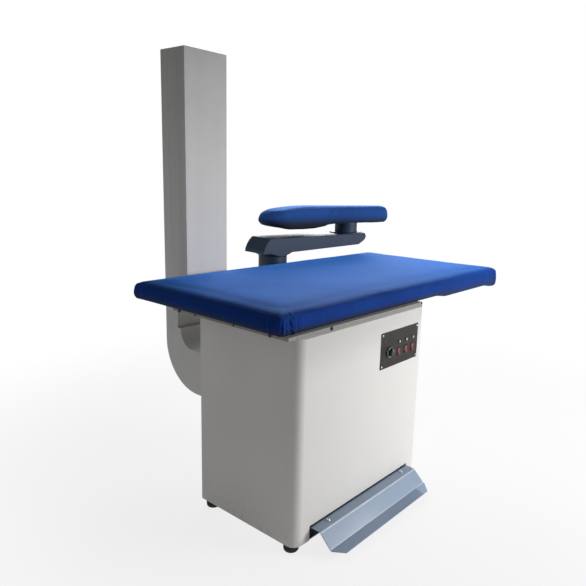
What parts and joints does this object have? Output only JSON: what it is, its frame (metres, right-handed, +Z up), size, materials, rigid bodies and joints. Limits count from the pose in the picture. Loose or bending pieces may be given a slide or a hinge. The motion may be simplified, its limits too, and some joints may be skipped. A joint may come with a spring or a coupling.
{
  "type": "vacuum ironing table",
  "caption": "Vacuum ironing table: padded heated table on a cabinet with suction blower, exhaust chimney, foot pedal with air flap, and a swing arm that carries a small buck.",
  "frame": {"origin": "centre of the bounding box on the floor", "axes": "+X to the operator's right, +Y to the back where the chimney stands, +Z up"},
  "size_m": [1.6742, 1.2026, 1.734],
  "materials": {
    "cabinet_paint": "off-white powder coat",
    "frame_paint": "light grey powder coat",
    "duct_paint": "light grey paint on folded sheet",
    "arm_paint": "dark slate-blue enamel",
    "pedal_paint": "blue-grey enamel",
    "zinc_sheet": "zinc-plated sheet",
    "bright_steel": "ground bright steel",
    "blue_fabric": "woven royal blue cover cloth",
    "felt": "needled felt and foam",
    "rubber": "black moulded rubber",
    "black_plastic": "fine-grained black",
    "panel_paint": "dark satin paint",
    "red_plastic": "glossy translucent red",
    "lamp_plastic": "clear to milky lens",
    "bush_plastic": "dark grey bearing plastic",
    "motor_casting": "painted casting"
  },
  "bodies": {
    "frame": {"cabinet_shell": "cabinet_paint", "back_panel": "frame_paint", "base_plate": "zinc_sheet", "foot_front_left": "rubber", "foot_front_right": "rubber", "foot_rear_left": "rubber", "foot_rear_right": "rubber", "frame_bar_left": "frame_paint", "frame_bar_right": "frame_paint", "frame_bar_front": "frame_paint", "frame_bar_rear": "frame_paint", "table_tray": "zinc_sheet", "plate_support": "zinc_sheet", "heating_element": "bright_steel", "perforated_plate": "zinc_sheet", "table_pad": "felt", "table_cover": "blue_fabric", "suction_funnel": "zinc_sheet", "damper_housing": "zinc_sheet", "blower_housing": "zinc_sheet", "motor_body": "motor_casting", "blower_stand_left": "zinc_sheet", "blower_stand_right": "zinc_sheet", "exhaust_duct": "duct_paint", "exhaust_elbow": "duct_paint", "riser_duct": "duct_paint", "chimney_support": "frame_paint", "chimney_rear": "duct_paint", "chimney_front": "duct_paint", "column_bracket": "arm_paint", "arm_column": "arm_paint", "column_bush": "bush_plastic", "control_plate": "panel_paint", "thermostat_body": "black_plastic", "switch_bank": "black_plastic", "pilot_lamp_1": "lamp_plastic", "pilot_lamp_2": "lamp_plastic", "pilot_lamp_3": "lamp_plastic", "electrical_box": "zinc_sheet", "mains_gland": "black_plastic", "pedal_spring": "bright_steel"},
    "arm": {"swing_arm": "arm_paint", "arm_top_cover": "arm_paint", "buck_post": "arm_paint"},
    "buck": {"buck_tray": "arm_paint", "buck_pad": "felt", "buck_cover": "blue_fabric"},
    "fan": {"fan_impeller": "zinc_sheet", "motor_shaft": "bright_steel"},
    "pedal": {"pedal_plate": "pedal_paint", "pedal_lever_left": "zinc_sheet", "pedal_lever_right": "zinc_sheet", "pedal_shaft": "bright_steel"},
    "rod": {"link_rod": "bright_steel"},
    "damper": {"damper_shaft": "bright_steel", "damper_flap": "zinc_sheet"},
    "knob": {"thermostat_knob": "black_plastic"},
    "rocker_1": {"rocker_switch_1": "red_plastic"},
    "rocker_2": {"rocker_switch_2": "red_plastic"},
    "rocker_3": {"rocker_switch_3": "red_plastic"}
  },
  "joints": [
    {"name": "arm_swing", "type": "hinge", "parent": "frame", "child": "arm", "pos_m": [0.01589, 0.45573, 0.849], "axis": [0, 0, 1], "range_deg": [-85, 95]},
    {"name": "buck_swivel", "type": "hinge", "parent": "arm", "child": "buck", "pos_m": [0.54765, 0.40677, 0.985], "axis": [0, 0, 1], "range_deg": [-90, 90]},
    {"name": "fan_spin", "type": "hinge", "parent": "frame", "child": "fan", "pos_m": [-0.36111, -0.24545, 0.313], "axis": [0, 0, 1], "continuous": true},
    {"name": "pedal_press", "type": "hinge", "parent": "frame", "child": "pedal", "pos_m": [-0.41111, -0.40927, 0.058], "axis": [1, 0, 0], "range_deg": [0, 5], "stiffness_Nm_per_rad": 20, "springref_deg": -17.19, "deforming": ["pedal_spring"]},
    {"name": "rod_hinge", "type": "hinge", "parent": "pedal", "child": "rod", "pos_m": [-0.17111, -0.22928, 0.058], "axis": [1, 0, 0], "range_deg": [-5.1, 0.1]},
    {"name": "damper_turn", "type": "hinge", "parent": "frame", "child": "damper", "pos_m": [-0.36111, -0.24545, 0.6], "axis": [1, 0, 0], "range_deg": [-0.2, 52.2]},
    {"name": "rocker_1_press", "type": "hinge", "parent": "frame", "child": "rocker_1", "pos_m": [-0.21811, -0.46927, 0.597], "axis": [1, 0, 0], "range_deg": [0, 16]},
    {"name": "rocker_2_press", "type": "hinge", "parent": "frame", "child": "rocker_2", "pos_m": [-0.16911, -0.46927, 0.597], "axis": [1, 0, 0], "range_deg": [0, 16]},
    {"name": "rocker_3_press", "type": "hinge", "parent": "frame", "child": "rocker_3", "pos_m": [-0.12011, -0.46927, 0.597], "axis": [1, 0, 0], "range_deg": [0, 16]},
    {"name": "knob_turn", "type": "hinge", "parent": "frame", "child": "knob", "pos_m": [-0.28311, -0.46927, 0.608], "axis": [0, 1, 0], "range_deg": [0, 270]}
  ],
  "couplings": [
    {"joint": "rod_hinge", "follows": "pedal_press", "ratio": -1},
    {"joint": "damper_turn", "follows": "pedal_press", "ratio": 10.4}
  ]
}
